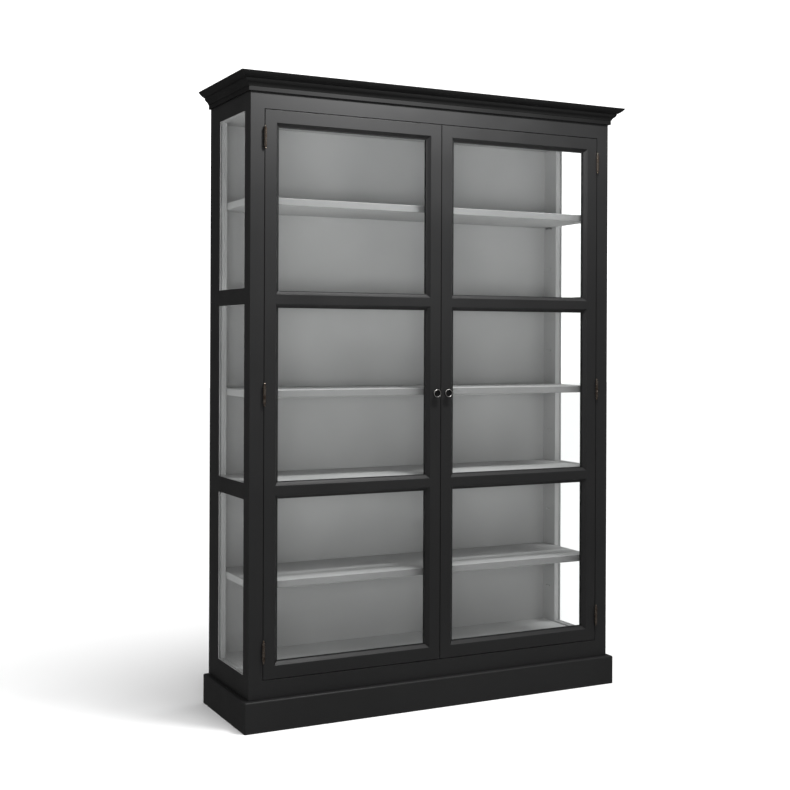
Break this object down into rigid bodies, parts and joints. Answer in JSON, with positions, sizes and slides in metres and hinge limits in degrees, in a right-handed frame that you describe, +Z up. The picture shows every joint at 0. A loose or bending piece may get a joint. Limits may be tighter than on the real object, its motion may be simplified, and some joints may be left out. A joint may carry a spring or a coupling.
{
  "type": "display cabinet",
  "caption": "Free-standing glazed display cabinet with hinged glass doors, glazed sides, shelves, cornice and plinth.",
  "frame": {"origin": "on the floor, under the middle of the overall box (the cornice's width and depth)", "axes": "+Z up, +Y from the doors to the back, +X to the right for someone facing the doors"},
  "size_m": [1.548, 0.457, 2.2],
  "materials": {
    "black_paint": "satin black paint on wood",
    "grey_paint": "matt mid-grey paint on board",
    "glass": "clear float glass",
    "hinge_metal": "aged bronze",
    "knob_metal": "dark burnished metal with a polished rim",
    "screw_steel": "zinc plated steel",
    "strike_steel": "plain steel plate",
    "catch_plastic": "black moulded plastic",
    "pin_steel": "plain steel",
    "bare_wood": "bare softwood"
  },
  "bodies": {
    "case": {"back_panel": "grey_paint", "case_screws": "screw_steel", "catches": "catch_plastic", "ceiling_board": "grey_paint", "cornice_front": "black_paint", "cornice_left": "black_paint", "cornice_right": "black_paint", "face_bottom_rail": "black_paint", "face_top_rail": "black_paint", "floor_board": "grey_paint", "front_post_left": "black_paint", "front_post_right": "black_paint", "hinge_pins": "hinge_metal", "hinge_post_leaves": "hinge_metal", "plinth_back": "black_paint", "plinth_blocks": "bare_wood", "plinth_front": "black_paint", "plinth_left": "black_paint", "plinth_right": "black_paint", "rear_post_left": "black_paint", "rear_post_right": "black_paint", "shelf_1": "grey_paint", "shelf_2": "grey_paint", "shelf_3": "grey_paint", "shelf_4": "grey_paint", "shelf_5": "grey_paint", "shelf_pins": "pin_steel", "side_beads_left": "black_paint", "side_beads_right": "black_paint", "side_panes_left": "glass", "side_panes_right": "glass", "side_rails_left": "black_paint", "side_rails_right": "black_paint", "top_board": "black_paint"},
    "left_door": {"left_door_beads": "black_paint", "left_door_bottom_rail": "black_paint", "left_door_hinge_leaves": "hinge_metal", "left_door_hinge_stile": "black_paint", "left_door_knob": "knob_metal", "left_door_lower_bar": "black_paint", "left_door_meeting_stile": "black_paint", "left_door_panes": "glass", "left_door_screws": "screw_steel", "left_door_strike": "strike_steel", "left_door_top_rail": "black_paint", "left_door_upper_bar": "black_paint"},
    "right_door": {"right_door_beads": "black_paint", "right_door_bottom_rail": "black_paint", "right_door_hinge_leaves": "hinge_metal", "right_door_hinge_stile": "black_paint", "right_door_knob": "knob_metal", "right_door_lower_bar": "black_paint", "right_door_meeting_stile": "black_paint", "right_door_panes": "glass", "right_door_screws": "screw_steel", "right_door_strike": "strike_steel", "right_door_top_rail": "black_paint", "right_door_upper_bar": "black_paint"}
  },
  "joints": [
    {"name": "left_door_hinge", "type": "hinge", "parent": "case", "child": "left_door", "pos_m": [-0.67575, -0.1869, 1.12625], "axis": [0, 0, -1], "range_deg": [0, 170]},
    {"name": "right_door_hinge", "type": "hinge", "parent": "case", "child": "right_door", "pos_m": [0.67575, -0.1869, 1.12625], "axis": [0, 0, 1], "range_deg": [0, 170]}
  ]
}
